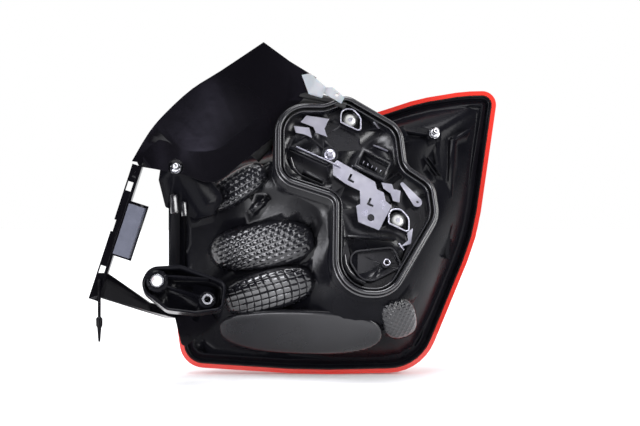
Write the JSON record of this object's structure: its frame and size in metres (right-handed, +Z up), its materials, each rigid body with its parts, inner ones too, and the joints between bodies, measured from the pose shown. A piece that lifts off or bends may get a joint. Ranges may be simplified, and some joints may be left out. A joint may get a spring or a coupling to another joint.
{
  "type": "car tail light cluster",
  "caption": "Car tail light cluster seen from its mounting side, with lens, moulded housing, bulb carrier, ball studs and a side gap panel.",
  "frame": {"origin": "seat of the upper right ball stud, which is the main fixing point", "axes": "+Z up, +X to the right as seen from the mounting side, -Y towards the person who looks at the mounting side"},
  "size_m": [0.4843, 0.1933, 0.3964],
  "materials": {
    "black_moulding": "gloss",
    "red_lens": "gloss",
    "clear_lens": "gloss",
    "black_rubber": "matt",
    "bright_trim": "gloss",
    "carrier_plastic": "satin",
    "plated_sheet": "satin",
    "bulb_metal": "gloss",
    "clear_bulb": "gloss",
    "amber_bulb": "gloss",
    "stud_steel": "gloss",
    "gloss_panel": "gloss",
    "slate_pad": "matt",
    "milky_nylon": "satin"
  },
  "bodies": {
    "root": {"housing": "black_moulding", "outer_lens": "red_lens", "clear_window": "clear_lens", "lens_seal": "black_rubber", "inner_bezel": "bright_trim", "bulb_carrier": "carrier_plastic", "carrier_gasket": "black_rubber", "earth_track": "plated_sheet", "stop_track": "plated_sheet", "tail_track": "plated_sheet", "indicator_track": "plated_sheet", "reverse_track": "plated_sheet", "contact_springs": "plated_sheet", "connector_pins": "plated_sheet", "release_lever": "plated_sheet", "tail_bulb_base": "bulb_metal", "tail_bulb_glass": "clear_bulb", "stop_bulb_base": "bulb_metal", "stop_bulb_glass": "clear_bulb", "indicator_bulb_base": "bulb_metal", "indicator_bulb_glass": "amber_bulb", "stud_right": "stud_steel", "stud_left": "stud_steel", "lower_bush": "stud_steel", "eye_sleeve": "stud_steel", "gap_panel": "gloss_panel", "bump_pad": "slate_pad", "lock_tail": "gloss_panel", "clip_bracket": "milky_nylon", "nylon_clip": "milky_nylon", "panel_rivets": "gloss_panel"}
  },
  "joints": []
}
